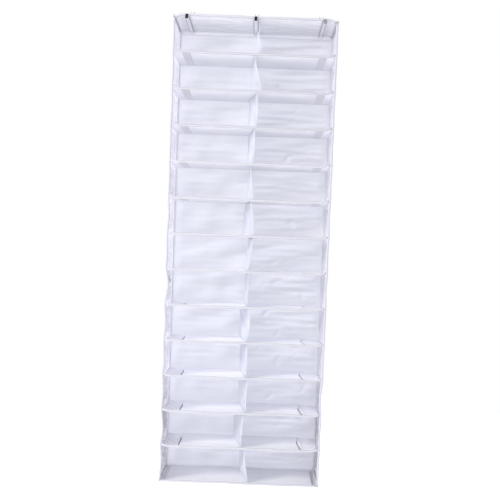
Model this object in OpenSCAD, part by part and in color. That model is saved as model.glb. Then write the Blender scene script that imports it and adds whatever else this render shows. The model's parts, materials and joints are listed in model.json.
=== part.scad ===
// Over-door shoe organizer: a tall soft box of film walls and boarded shelves, split by a middle
// divider into two columns, hanging on three bent steel straps. Millimetres, +Z up, front towards -Y.
// The origin is the middle of the door's top edge, under the middle strap's bridge.

/* [Body] */
// Width across the side bindings
body_w = 570; // [540:5:620]
// Depth from the front bindings to the back bindings
body_d = 190; // [160:5:220]
// Number of tiers, each one a row of two compartments
tiers = 13; // [4:1:13]
// Height of one tier
pitch = 125; // [110:1:150]
// Thickness of the film walls
film = 0.8; // [0.5:0.1:0.9]
// Gap between neighbouring pieces, which are sewn together
gap = 0.3; // [0.2:0.05:0.4]

/* [Bindings] */
// Height of a binding's face
bind_h = 8; // [7.5:0.5:10]
// Depth of a binding, from its face to its open edge
bind_d = 6; // [5:0.5:8]
// Rounding of a binding's face
bind_r = 2.5; // [1:0.5:3]
// Thickness of a binding between its face and its slot
bind_face = 2; // [1.5:0.5:2.5]

/* [Shelves] */
// Distance from the side of the body to the end of a shelf board
board_inset = 65; // [56:1:90]
// Thickness of a board
board_t = 2; // [1.5:0.1:2]
// Height of a shelf sleeve, both layers and the space between them
sleeve_h = 4; // [4:0.1:4.2]
// Length of board left bare at each open end of a shelf sleeve
bare_end = 3; // [0:0.5:6]
// Thickness of a sleeve's sewn front and back edges
sleeve_wall = 1; // [0.8:0.1:1.5]
// Width of a shelf's edge that curves up to the side panel
rise_span = 30; // [20:1:40]
// Height that this edge rises
rise = 6.5; // [3:0.5:8]
// Width of the top's edge that droops to the side panel
droop_span = 20; // [18:1:22]
// Height that this edge droops
droop = 7; // [4:0.5:9]

/* [Divider] */
// Depth of the doubled hem on the divider's front edge
hem_d = 10; // [6:1:16]
// Thickness of that hem
hem_t = 2.4; // [1.6:0.2:3]

/* [Straps] */
// Distance from the side of the body to the middle of an outer strap
hook_inset = 48; // [43:1:80]
// Width of a strap
strap_w = 15; // [12:1:18]
// Thickness of a strap
strap_t = 1.5; // [1:0.1:2]
// Inner radius of each bend
bend_r = 2.5; // [2:0.5:2.5]
// Gap over the door, inside the strap
door_gap = 45; // [36:1:50]
// Height of the door's top above the organizer's top
hang = 66; // [50:1:90]
// Length of the strap behind the door
rear_drop = 38; // [25:1:60]
// Width of the narrow tongue at a strap's front end
tongue_w = 6.6; // [5:0.2:8]
// Height of the black tip above the arm
tip_top = 5; // [4.5:0.5:5]
// Length of the black tip below the arm
tip_drop = 7.3; // [4:0.1:9]
// Wall of the black tip
tip_wall = 1.2; // [0.8:0.1:1.4]
// Height that the organizer lifts to come off the tips
lift = 5.5; // [5.5:0.5:12]

/* [Hidden] */
$fn = 64;
eps = 0.01;
side_x = body_w / 2;
back_y = -door_gap / 2 - strap_t - gap;
front_y = back_y - body_d;
top_z = -hang;

bind_in_x = side_x - bind_h;
panel_x = side_x - bind_h / 2;
panel_in_x = panel_x - film / 2 - gap;
back_film_y = back_y - bind_d / 2;
groove = film + gap;

board_l = body_w - 2 * board_inset;
end_half_w = bind_in_x - gap;
top_flat_x = end_half_w - droop_span;
top_board_l = 2 * top_flat_x - 3.4;

sleeve_y0 = front_y + bind_face + 0.2;
sleeve_y1 = back_film_y - film / 2 - gap;
end_sleeve_y1 = back_y - bind_d - gap;

hook_x = side_x - hook_inset;
arm_z = top_z - (sleeve_h + bind_h) / 2 - 0.2;
lip_y = front_y - tip_wall - 0.5;
slot_low_z = arm_z - strap_t - lift - 2;
slot_half_w = strap_w / 2 + 1.5;

top_side_z = top_z - droop - film / 2;
bottom_z = top_z - tiers * pitch;
bottom_bind_z = bottom_z - sleeve_h / 2;
panel_low_z = bottom_bind_z + gap;
panel_high_z = top_side_z - gap;
upright_low_z = bottom_bind_z + bind_h / 2 + gap;
upright_high_z = top_side_z - bind_h / 2 - gap;

function two(i) = str(i < 10 ? "0" : "", i);
function shelf_names(kind) = [for (i = [1:tiers]) str(kind, two(i))];

// ---- Shared shapes ----

// A box given by its two opposite corners
module block(low, high) {
    translate(low) cube(high - low);
}

// Repeats a right-hand shape on the left
module both_sides() {
    children();
    mirror([1, 0, 0]) children();
}

// A rectangle from (0, -h/2) to (d, h/2) with its two corners at x = 0 rounded
module rounded_front(d, h, r) {
    translate([r, -h / 2]) square([d - r, h]);
    translate([0, r - h / 2]) square([r, h - 2 * r]);
    for (side = [-1, 1])
        translate([r, side * (h / 2 - r)]) circle(r);
}

// A binding's section: its face at x = 0, its open edge at x = bind_d, and a slot for the film
module binding_profile(slot) {
    difference() {
        rounded_front(bind_d, bind_h, bind_r);
        translate([bind_face, -slot / 2]) square([bind_d, slot]);
    }
}

// The section of a back binding, whose slot opens on its upper side
module back_profile() {
    difference() {
        rounded_front(bind_d, bind_h, bind_r);
        translate([(bind_d - groove) / 2, 0]) square([groove, bind_h]);
    }
}

// Radius and angle of an arc that starts level and climbs a height h over a width w
function arc_r(w, h) = (w * w + h * h) / (2 * h);
function arc_angle(w, h) = 2 * atan(h / w);

// Height of the arc's centre above the base film's outer face
function centre_h(w, h) = arc_r(w, h) + film / 2;

// Sweeps a section, given as (distance below the arc's centre, -y), along an arc from x = x0
module curl(x0, centre_z, angle) {
    translate([x0, 0, centre_z])
        rotate([90, 0, 0])
            rotate([0, 0, -90])
                rotate_extrude(angle = angle, $fn = 128) children();
}

// ---- Sleeves, boards and their bindings, drawn with the base film's outer face at z = 0 ----

// A base film with curved ends, and a second film that makes a pocket open at both ends
module sleeve(half_w, pocket, span, height, y0, y1) {
    flat_x = half_w - span;
    block([-flat_x, y0, 0], [flat_x, y1, film]);
    if (height > 0)
        both_sides()
            curl(flat_x, centre_h(span, height), arc_angle(span, height))
                translate([arc_r(span, height) - film / 2, -y1]) square([film, y1 - y0]);
    block([-pocket, y0, sleeve_h - film], [pocket, y1, sleeve_h]);
    block([-pocket, y0, film - eps], [pocket, y0 + sleeve_wall, sleeve_h - film + eps]);
    block([-pocket, y1 - sleeve_wall, film - eps], [pocket, y1, sleeve_h - film + eps]);
}

// The stiff board that lies between the two films
module board(length, y0, y1) {
    low_z = (sleeve_h - board_t) / 2;
    inset = sleeve_wall + gap;
    block([-length / 2, y0 + inset, low_z], [length / 2, y1 - inset, low_z + board_t]);
}

// The binding along a sleeve's front edge, following the sleeve's curved ends
module front_run(half_w, span, height) {
    flat_x = half_w - span;
    slot = sleeve_h + 0.2;
    translate([0, front_y, sleeve_h / 2])
        rotate([90, 0, 90])
            linear_extrude(2 * flat_x, center = true) binding_profile(slot);
    if (height > 0) {
        below = centre_h(span, height) - sleeve_h / 2;
        both_sides()
            curl(flat_x, centre_h(span, height), asin((end_half_w - flat_x) / (below + bind_h / 2)))
                translate([below, -front_y]) rotate(-90) binding_profile(slot);
    }
}

// The binding along a sleeve's back edge, which also holds the edge of the back panel
module back_run(span, height) {
    flat_x = end_half_w - span;
    translate([0, back_y, sleeve_h / 2])
        rotate([90, 0, 90])
            linear_extrude(2 * flat_x, center = true) mirror([1, 0]) back_profile();
    if (height > 0) {
        below = centre_h(span, height) - sleeve_h / 2;
        both_sides()
            curl(flat_x, centre_h(span, height), asin(span / (below + bind_h / 2)))
                translate([below, -back_y]) rotate(90) back_profile();
    }
}

// The room of the four upright bindings, cut out of the corners of a shelf
module corner_room() {
    for (y = [front_y - gap, back_y - bind_d - gap])
        both_sides()
            block([end_half_w, y, -pitch], [side_x, y + bind_d + 2 * gap, pitch]);
}

// ---- Shelves ----

// Places the parts of shelf i, counted from the top
module at_shelf(i) {
    translate([0, 0, top_z - i * pitch - sleeve_h]) children();
}

module shelf_sleeve(i) {
    pocket = board_l / 2 - bare_end;
    color("aliceblue") at_shelf(i)
        if (i == tiers)
            sleeve(end_half_w, pocket, 0, 0, sleeve_y0, end_sleeve_y1);
        else
            difference() {
                sleeve(panel_in_x, pocket, rise_span, rise, sleeve_y0, sleeve_y1);
                corner_room();
            }
}

module shelf_board(i) {
    color("gray") at_shelf(i)
        board(board_l, sleeve_y0, i == tiers ? end_sleeve_y1 : sleeve_y1);
}

module shelf_binding(i) {
    color("white") at_shelf(i)
        if (i == tiers)
            front_run(end_half_w, 0, 0);
        else
            front_run(panel_in_x, rise_span, rise);
}

// ---- Top ----

// Places the top's parts upside down, so that the full-width film is uppermost and droops
module at_top() {
    translate([0, 0, top_z]) mirror([0, 0, 1]) children();
}

module top_sleeve() {
    color("aliceblue") at_top()
        sleeve(end_half_w, top_flat_x - 0.1, droop_span, droop, sleeve_y0, end_sleeve_y1);
}

module top_board() {
    color("gray") at_top()
        board(top_board_l, sleeve_y0, end_sleeve_y1);
}

module top_front_binding() {
    color("white") at_top()
        front_run(end_half_w, droop_span, droop);
}

module top_back_binding() {
    color("white") at_top()
        back_run(droop_span, droop);
}

// Bars along the depth, over the top edges of the side panels
module top_side_bindings() {
    color("white") both_sides()
        difference() {
            block([bind_in_x, front_y, top_side_z - bind_h / 2],
                  [side_x, back_y, top_side_z + bind_h / 2]);
            block([panel_x - groove / 2, front_y - 1, top_side_z - bind_h],
                  [panel_x + groove / 2, back_y + 1, top_side_z]);
        }
}

// ---- Bottom edges ----

module bottom_back_binding() {
    color("white") at_shelf(tiers)
        back_run(0, 0);
}

// Bars along the depth, under the bottom edges of the side panels
module bottom_side_bindings() {
    color("white") both_sides()
        difference() {
            block([bind_in_x, front_y, bottom_bind_z - bind_h / 2],
                  [side_x, back_y, bottom_bind_z + bind_h / 2]);
            block([panel_x - groove / 2, front_y - 1, bottom_bind_z],
                  [panel_x + groove / 2, back_y + 1, bottom_bind_z + bind_h]);
        }
}

// ---- Walls ----

// The back film, slotted round each arm so that the organizer can lift off
module back_panel() {
    y0 = back_film_y - film / 2;
    y1 = back_film_y + film / 2;
    corner_z = top_z - sleeve_h / 2 - droop - gap;
    color("aliceblue") difference() {
        union() {
            block([-bind_in_x - 2, y0, upright_low_z], [bind_in_x + 2, y1, upright_high_z]);
            block([-end_half_w, y0, panel_low_z], [end_half_w, y1, corner_z]);
            block([-hook_x, y0, corner_z - eps], [hook_x, y1, top_z - sleeve_h / 2 - gap]);
        }
        for (x = [-hook_x, 0, hook_x])
            block([x - slot_half_w, y0 - 1, slot_low_z], [x + slot_half_w, y1 + 1, top_z]);
    }
}

module side_panel() {
    block([panel_x - film / 2, sleeve_y0, panel_low_z],
          [panel_x + film / 2, back_y - bind_face - 0.2, panel_high_z]);
}

module left_side_panel() {
    color("lavender") mirror([1, 0, 0]) side_panel();
}

module right_side_panel() {
    color("lavender") side_panel();
}

// One film between each pair of shelves, with a doubled front hem
module centre_divider() {
    hem_y = front_y + bind_d + gap;
    color("ghostwhite") for (i = [1:tiers]) {
        low_z = i == tiers ? upright_low_z : top_z - i * pitch + gap;
        high_z = i == 1 ? arm_z - strap_t - gap : top_z - (i - 1) * pitch - sleeve_h - gap;
        block([-film / 2, hem_y, low_z], [film / 2, sleeve_y1, high_z]);
        block([-hem_t / 2, hem_y, low_z], [hem_t / 2, hem_y + hem_d, high_z]);
    }
}

// An upright binding over a side panel's front edge
module front_upright() {
    translate([panel_x, front_y, upright_low_z])
        linear_extrude(upright_high_z - upright_low_z)
            rotate(90) binding_profile(groove);
}

// An upright binding at a back corner, with a slot for the side panel and one for the back panel
module back_upright() {
    difference() {
        translate([panel_x, back_y, upright_low_z])
            linear_extrude(upright_high_z - upright_low_z)
                rotate(-90) binding_profile(groove);
        block([bind_in_x - 1, back_film_y - groove / 2, upright_low_z - 1],
              [bind_in_x + 2 + gap, back_film_y + groove / 2, upright_high_z + 1]);
    }
}

module left_front_binding() {
    color("white") mirror([1, 0, 0]) front_upright();
}

module right_front_binding() {
    color("white") front_upright();
}

module left_back_binding() {
    color("white") mirror([1, 0, 0]) back_upright();
}

module right_back_binding() {
    color("white") back_upright();
}

// ---- Straps ----

// A quarter ring of strap about the given centre, in the quadrant (sx, sy)
module quarter_bend(centre, sx, sy) {
    reach = bend_r + strap_t;
    translate(centre) intersection() {
        difference() {
            circle(reach);
            circle(bend_r);
        }
        scale([sx, sy]) square(reach);
    }
}

// Side view of a strap's wide part, in (y, z): behind the door, over it, down and forward
module strap_profile() {
    half = door_gap / 2;
    riser_y = -half - strap_t;
    arm_y0 = lip_y + bend_r + 4;
    arm_y1 = riser_y - bend_r;
    translate([half, -rear_drop]) square([strap_t, rear_drop - bend_r]);
    quarter_bend([half - bend_r, -bend_r], 1, 1);
    translate([bend_r - half, 0]) square([door_gap - 2 * bend_r, strap_t]);
    quarter_bend([bend_r - half, -bend_r], -1, 1);
    translate([riser_y, arm_z + bend_r]) square([strap_t, -arm_z - 2 * bend_r]);
    quarter_bend([arm_y1, arm_z + bend_r], 1, -1);
    translate([arm_y0, arm_z - strap_t]) square([arm_y1 - arm_y0, strap_t]);
}

// Side view of the narrow tongue that turns up at the front
module tongue_profile() {
    translate([lip_y + bend_r, arm_z - strap_t]) square([5, strap_t]);
    quarter_bend([lip_y + bend_r, arm_z + bend_r], -1, -1);
    translate([lip_y - strap_t, arm_z + bend_r]) square([strap_t, tip_top - bend_r - 1.5]);
}

// Sweeps a side view across a width w, centred on x
module across(x, w) {
    translate([x - w / 2, 0, 0]) rotate([90, 0, 90]) linear_extrude(w) children();
}

module hook(x) {
    color("silver") union() {
        across(x, strap_w) strap_profile();
        across(x, tongue_w) tongue_profile();
    }
}

// A black cap pushed over a tongue's end: it covers the bend and hangs below it as a solid lug
module hook_tip(x) {
    half_w = tongue_w / 2 + tip_wall;
    face_y = lip_y - strap_t - tip_wall;
    cap_d = strap_t + 2 * tip_wall;
    low_z = arm_z + bend_r + 0.2;
    top_h = arm_z + tip_top;
    skirt_z = arm_z - strap_t - tip_drop;
    lug_z = arm_z - strap_t - 0.3;
    clear = 0.05;
    color("black") difference() {
        translate([x, face_y, skirt_z])
            linear_extrude(top_h - skirt_z)
                rotate(90) rounded_front(cap_d, 2 * half_w, 1);
        block([x - tongue_w / 2 - clear, lip_y - strap_t - clear, lug_z],
              [x + tongue_w / 2 + clear, lip_y + clear, top_h - 1.4]);
        block([x - half_w - 1, lip_y - strap_t - clear, lug_z],
              [x + half_w + 1, lip_y + tip_wall + 1, low_z]);
    }
}

// ---- Which node to draw ----

hook(-hook_x);  // hook_left
hook(0);  // hook_middle
hook(hook_x);  // hook_right
hook_tip(-hook_x);  // hook_tip_left
hook_tip(0);  // hook_tip_middle
hook_tip(hook_x);  // hook_tip_right
top_sleeve();
top_board();
top_front_binding();
top_back_binding();
top_side_bindings();
back_panel();
left_side_panel();
right_side_panel();
centre_divider();
left_front_binding();
right_front_binding();
left_back_binding();
right_back_binding();
bottom_back_binding();
bottom_side_bindings();
for (i = [1:tiers]) {
    shelf_sleeve(i);
    shelf_board(i);
    shelf_binding(i);
}
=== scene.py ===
"""Looks of the over-door shoe organizer, built round its CAD frame.

Metres, +Z up, +X to the right from the front, the open front faces -Y. The straps, their tips and the boards
keep their CAD meshes; every soft piece is built here as film or tape and stands for its CAD solid.
"""

import json
import math

import bpy
import numpy as np
from mathutils import Matrix, Vector


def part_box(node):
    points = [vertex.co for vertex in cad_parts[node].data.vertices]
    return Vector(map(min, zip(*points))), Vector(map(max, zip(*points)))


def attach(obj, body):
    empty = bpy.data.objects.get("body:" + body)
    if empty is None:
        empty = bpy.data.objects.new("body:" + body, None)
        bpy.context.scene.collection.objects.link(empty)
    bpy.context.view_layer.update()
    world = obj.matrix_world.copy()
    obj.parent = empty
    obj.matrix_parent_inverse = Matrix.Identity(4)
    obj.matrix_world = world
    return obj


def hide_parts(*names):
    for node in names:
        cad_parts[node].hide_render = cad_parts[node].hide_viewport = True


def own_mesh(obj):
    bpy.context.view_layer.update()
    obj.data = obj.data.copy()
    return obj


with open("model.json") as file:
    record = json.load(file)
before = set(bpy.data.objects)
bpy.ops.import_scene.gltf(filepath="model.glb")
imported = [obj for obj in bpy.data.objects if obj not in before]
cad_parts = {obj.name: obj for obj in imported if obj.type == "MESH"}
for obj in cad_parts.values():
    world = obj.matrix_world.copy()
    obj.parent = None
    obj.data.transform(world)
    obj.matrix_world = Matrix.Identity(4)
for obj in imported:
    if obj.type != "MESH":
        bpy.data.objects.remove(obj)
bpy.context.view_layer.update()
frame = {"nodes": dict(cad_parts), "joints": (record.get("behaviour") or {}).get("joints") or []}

# ---- Sizes, read from the frame ----

TIERS = sum(1 for name in frame["nodes"] if name.startswith("shelf_board_"))


def low(node):
    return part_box(node)[0]


def high(node):
    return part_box(node)[1]


FRONT = low("top_front_binding").y
BACK = high("right_back_binding").y
BACK_FILM = (low("back_panel").y + high("back_panel").y) / 2
SIDE_FILM = (low("right_side_panel").x + high("right_side_panel").x) / 2
SIDE = high("top_side_bindings").x
TAPE_H = 2 * (SIDE - SIDE_FILM)
TAPE_D = high("top_front_binding").y - FRONT
TOP = high("top_sleeve").z
BOTTOM = low("shelf_sleeve_%02d" % TIERS).z
END_X = high("top_front_binding").x
SHELF_Z = [low("shelf_sleeve_%02d" % i).z for i in range(1, TIERS + 1)]
SLEEVE_H = 0.004  # height of a sleeve
BOARD_X = high("shelf_board_01").x
ARM_LOW = TOP - 0.0077  # underside of the straps' arms
LIFT = [j["range_m"][1] for j in frame["joints"] if j["name"] == "lift_off"][0]
PITCH = SHELF_Z[0] - SHELF_Z[1]

SEAM_Z = TOP - 0.0156  # the back film is made in two pieces that meet at this line
BILLOW = 0.0050  # how far the back film stands back between two shelves
FILM_T = 0.0004
HEM_T = 0.0011
SOFTEN = 0.05  # depth over which the wave of a front edge fades out
MOUTH = 0.0035  # depth over which a sleeve's two films part behind their edges

# The ends of the front edges curve, a shelf's up by RISE and the top's down by DROOP, over their last SPAN
RISE_SPAN = 0.030
RISE = 0.0062
DROOP_SPAN = 0.026
DROOP = 0.0078

# The upper films' right ends and the dark line of painted shade under them slant: per metre of depth, over the
# first SLANT_D
SLANT = 0.125
SLANT_D = 0.095


# ---- Mesh tools ----


def make_object(name, verts, faces, material, body, smooth_count=None):
    """A piece that rides on a body; faces after the first smooth_count are shaded flat."""
    mesh = bpy.data.meshes.new(name)
    mesh.from_pydata([tuple(v) for v in verts], [], [tuple(f) for f in faces])
    mesh.polygons.foreach_set("use_smooth", smooth_flags(len(faces), smooth_count))
    mesh.materials.append(material)
    mesh.update()
    obj = bpy.data.objects.new(name, mesh)
    bpy.context.scene.collection.objects.link(obj)
    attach(obj, body)
    return obj


def smooth_flags(count, smooth_count=None):
    return [smooth_count is None or k < smooth_count for k in range(count)]


def grid_faces(nu, nv, keep=None):
    i, j = np.meshgrid(np.arange(nu - 1), np.arange(nv - 1), indexing="ij")
    a = (i * nv + j).ravel()
    quads = np.stack([a, a + nv, a + nv + 1, a + 1], axis=1)
    if keep is not None:
        quads = quads[keep.ravel()]
    return quads


def face_normals(verts, quads):
    a = verts[quads[:, 2]] - verts[quads[:, 0]]
    b = verts[quads[:, 3]] - verts[quads[:, 1]]
    n = np.cross(a, b)
    return n / np.maximum(np.linalg.norm(n, axis=1, keepdims=True), 1e-12)


def thicken(verts, quads, thickness):
    """A closed shell round an open sheet of quads; thickness is a number or one per vertex."""
    verts = np.asarray(verts, float)
    used = np.unique(quads)
    index = -np.ones(len(verts), int)
    index[used] = np.arange(len(used))
    verts, quads = verts[used], index[quads]
    if np.ndim(thickness):
        thickness = np.asarray(thickness)[used][:, None]
    fn = face_normals(verts, quads)
    vn = np.zeros_like(verts)
    for k in range(4):
        np.add.at(vn, quads[:, k], fn)
    vn /= np.maximum(np.linalg.norm(vn, axis=1, keepdims=True), 1e-12)
    front = verts + vn * thickness / 2
    back = verts - vn * thickness / 2
    n = len(verts)
    edges = np.concatenate([quads[:, [k, (k + 1) % 4]] for k in range(4)])
    keys = np.sort(edges, axis=1)
    order = np.lexsort((keys[:, 1], keys[:, 0]))
    sorted_keys = keys[order]
    same_next = np.zeros(len(order), bool)
    same_next[:-1] = (sorted_keys[1:] == sorted_keys[:-1]).all(axis=1)
    shared = same_next.copy()
    shared[1:] |= same_next[:-1]
    rim = edges[order[~shared]]
    rim_faces = np.stack([rim[:, 1], rim[:, 0], rim[:, 0] + n, rim[:, 1] + n], axis=1)
    faces = np.concatenate([quads, quads[:, ::-1] + n, rim_faces])
    return np.concatenate([front, back]), faces


def sheet(name, points, material, body, thickness=FILM_T, keep=None, painted_shading=None):
    """A thin closed film from a grid of points (nu, nv, 3); painted_shading is painted shade per point, 0 dark to
    1 light.
    """
    nu, nv = points.shape[:2]
    if np.ndim(thickness):
        thickness = np.asarray(thickness).ravel()
    quads = grid_faces(nu, nv, keep)
    verts, faces = thicken(points.reshape(-1, 3), quads, thickness)
    obj = make_object(name, verts, faces, material, body, 2 * len(quads))
    set_painted_shading(obj, 0.5 if painted_shading is None else np.tile(painted_shading.ravel()[np.unique(quads)], 2))
    return obj


def set_painted_shading(obj, values):
    mesh = obj.data
    attribute = mesh.attributes.get("painted_shading") or mesh.attributes.new("painted_shading", "FLOAT", "POINT")
    attribute.data.foreach_set("value", np.broadcast_to(values, len(mesh.vertices)).astype(np.float32))


def painted_fold_shading(bump, u, v, slope):
    """Painted shade of a crumpled sheet from the slope of its relief: lighter where it faces up and to the left.
    """
    du = np.gradient(bump, u, axis=0)
    dv = np.gradient(bump, v, axis=1)
    return np.clip(0.5 + (dv - 0.7 * du) / (2 * slope), 0, 1)


def tube(sections):
    """Vertices and faces of a closed tube through stations, each a ring of points: (stations, ring, 3)."""
    count, ring = sections.shape[:2]
    verts = sections.reshape(-1, 3)
    faces = []
    for i in range(count - 1):
        for j in range(ring):
            k = (j + 1) % ring
            faces.append((i * ring + j, i * ring + k, (i + 1) * ring + k, (i + 1) * ring + j))
    first = tuple(range(ring))
    last = tuple((count - 1) * ring + j for j in range(ring))
    return verts, faces + [first[::-1], last]


def spaced(breaks, step):
    """Values from the first break to the last, about a step apart, that include every break."""
    out = [breaks[0]]
    for a, b in zip(breaks[:-1], breaks[1:]):
        n = max(1, int(round((b - a) / step)))
        out += [a + (b - a) * k / n for k in range(1, n + 1)]
    return np.array(out)


def waves(rng, u, v, count, u_len, v_len):
    """Smooth noise of about unit size: a sum of waves whose lengths lie in the given ranges, in metres."""
    total = np.zeros_like(u)
    for _ in range(count):
        ku = 2 * math.pi / rng.uniform(*u_len) * rng.choice([-1, 1])
        kv = 2 * math.pi / rng.uniform(*v_len)
        total += np.sin(ku * u + kv * v + rng.uniform(0, 2 * math.pi))
    return total / math.sqrt(count / 2)


def creases(rng, u, v, count, u_len, v_len, sharp=3.0):
    """Narrow ridges between broad smooth patches, in 0 to 1."""
    w = waves(rng, u, v, count, u_len, v_len)
    return np.exp(-sharp * np.abs(w))


def smoothstep(x):
    x = np.clip(x, 0, 1)
    return x * x * (3 - 2 * x)


def tier_phase(z):
    """Position inside a tier, 0 at its shelf below and 1 at the one above, and its number from 0 at the top."""
    t = (TOP - z) / PITCH
    index = np.clip(np.floor(t), 0, TIERS - 1).astype(int)
    return 1 - (t - index), index


# ---- Materials ----


def new_material(name):
    material = bpy.data.materials.new(name)
    material.use_nodes = True
    nodes, links = material.node_tree.nodes, material.node_tree.links
    nodes.clear()
    out = nodes.new("ShaderNodeOutputMaterial")
    return material, nodes, links, out


def noise_node(nodes, links, coords, scale, detail=3.0, stretch=(1, 1, 1), distortion=0.0):
    mapping = nodes.new("ShaderNodeMapping")
    mapping.inputs["Scale"].default_value = stretch
    links.new(coords, mapping.inputs["Vector"])
    noise = nodes.new("ShaderNodeTexNoise")
    noise.inputs["Scale"].default_value = scale
    noise.inputs["Detail"].default_value = detail
    noise.inputs["Distortion"].default_value = distortion
    links.new(mapping.outputs["Vector"], noise.inputs["Vector"])
    return noise.outputs["Fac"]


def connect(links, value, socket):
    """Links an output to a socket, or sets the socket when value is a number or a tuple."""
    if hasattr(value, "links"):
        links.new(value, socket)
    else:
        socket.default_value = value


def math_node(nodes, links, kind, *values):
    node = nodes.new("ShaderNodeMath")
    node.operation = kind
    for value, socket in zip(values, node.inputs):
        connect(links, value, socket)
    return node.outputs[0]


def ramp_node(nodes, links, value, start, end, to_start=0.0, to_end=1.0, smooth=False):
    """Maps value from start..end to to_start..to_end, held at both ends."""
    ramp = nodes.new("ShaderNodeMapRange")
    if smooth:
        ramp.interpolation_type = "SMOOTHSTEP"
    for name, number in (("From Min", start), ("From Max", end), ("To Min", to_start), ("To Max", to_end)):
        ramp.inputs[name].default_value = number
    links.new(value, ramp.inputs["Value"])
    return ramp.outputs["Result"]


def split_node(nodes, links, coords):
    split = nodes.new("ShaderNodeSeparateXYZ")
    links.new(coords, split.inputs["Vector"])
    return split.outputs


def mix_colour(nodes, links, fac, a, b):
    mix = nodes.new("ShaderNodeMix")
    mix.data_type = "RGBA"
    connect(links, fac, mix.inputs[0])
    for value, socket in ((a, mix.inputs[6]), (b, mix.inputs[7])):
        connect(links, value if hasattr(value, "links") else (*value, 1), socket)
    return mix.outputs[2]


def bump_node(nodes, links, height, strength, distance, normal=None):
    bump = nodes.new("ShaderNodeBump")
    bump.inputs["Strength"].default_value = strength
    bump.inputs["Distance"].default_value = distance
    links.new(height, bump.inputs["Height"])
    if normal is not None:
        links.new(normal, bump.inputs["Normal"])
    return bump.outputs["Normal"]


def skin_node(nodes, links, colour, rough, normal=None, **values):
    """A Principled surface; values are its other inputs, with _ for a space."""
    skin = nodes.new("ShaderNodeBsdfPrincipled")
    links.new(colour, skin.inputs["Base Color"])
    connect(links, rough, skin.inputs["Roughness"])
    if normal is not None:
        links.new(normal, skin.inputs["Normal"])
    for name, value in values.items():
        skin.inputs[name.replace("_", " ")].default_value = value
    return skin.outputs["BSDF"]


def glow_node(nodes, links, colour, normal=None):
    """The light that a film or tape passes."""
    glow = nodes.new("ShaderNodeBsdfTranslucent")
    links.new(colour, glow.inputs["Color"])
    if normal is not None:
        links.new(normal, glow.inputs["Normal"])
    return glow.outputs["BSDF"]


def mix_shader(nodes, links, fac, a, b):
    mix = nodes.new("ShaderNodeMixShader")
    connect(links, fac, mix.inputs["Fac"])
    links.new(a, mix.inputs[1])
    links.new(b, mix.inputs[2])
    return mix.outputs["Shader"]


# Length of one band of the wave texture at scale 1
BAND = 0.314


def weave_height(nodes, links, coords, pitch):
    """A plain weave: waves along the three axes, a thread apart, so it works on faces of any direction."""
    total = None
    for axis in "XYZ":
        wave = nodes.new("ShaderNodeTexWave")
        wave.wave_type = "BANDS"
        wave.bands_direction = axis
        wave.inputs["Scale"].default_value = BAND / pitch
        wave.inputs["Distortion"].default_value = 0.4
        wave.inputs["Detail Scale"].default_value = 3.0
        links.new(coords, wave.inputs["Vector"])
        height = wave.outputs["Fac"]
        total = height if total is None else math_node(nodes, links, "ADD", total, height)
    return total


def side_mask(nodes, links, coords, ramps, centre=None):
    """The product of smooth ramps (from, to) over |x|, or over |x|'s distance from 0 or centre if it is given."""
    distance = math_node(nodes, links, "ABSOLUTE", split_node(nodes, links, coords)["X"])
    if centre is not None:
        outer = math_node(nodes, links, "ABSOLUTE", math_node(nodes, links, "SUBTRACT", distance, centre))
        distance = math_node(nodes, links, "MINIMUM", distance, outer)
    result = None
    for start, end in ramps:
        rising = start < end
        ramp = ramp_node(nodes, links, distance, min(start, end), max(start, end), 0.0 if rising else 1.0,
                         1.0 if rising else 0.0, smooth=True)
        result = ramp if result is None else math_node(nodes, links, "MULTIPLY", result, ramp)
    return result


# The two sizes of crease: cells per metre, width of a line in a cell, and the patch value where lines begin
CREASES = ((19.0, 0.022, 0.42), (52.0, 0.040, 0.50))
CREASE_FADE = 0.14


def crease_lines(nodes, links, coords):
    """Thin, mostly straight lines where light catches the creases of a crinkled film, in patches."""
    patches = noise_node(nodes, links, coords, 9.0, 2.0)
    bend = nodes.new("ShaderNodeTexNoise")
    bend.inputs["Scale"].default_value = 14.0
    links.new(coords, bend.inputs["Vector"])
    shift = nodes.new("ShaderNodeVectorMath")
    shift.operation = "MULTIPLY_ADD"
    shift.inputs[1].default_value = (0.03, 0.03, 0.03)
    links.new(bend.outputs["Color"], shift.inputs[0])
    links.new(coords, shift.inputs[2])
    total = None
    for scale, width, patch_edge in CREASES:
        cells = nodes.new("ShaderNodeTexVoronoi")
        cells.feature = "DISTANCE_TO_EDGE"
        cells.inputs["Scale"].default_value = scale
        links.new(shift.outputs["Vector"], cells.inputs["Vector"])
        line = ramp_node(nodes, links, cells.outputs["Distance"], 0.0, width, 1.0, 0.0, smooth=True)
        broken = ramp_node(nodes, links, patches, patch_edge, patch_edge + CREASE_FADE, smooth=True)
        both = math_node(nodes, links, "MULTIPLY", line, broken)
        total = both if total is None else math_node(nodes, links, "MAXIMUM", total, both)
    return total


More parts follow.
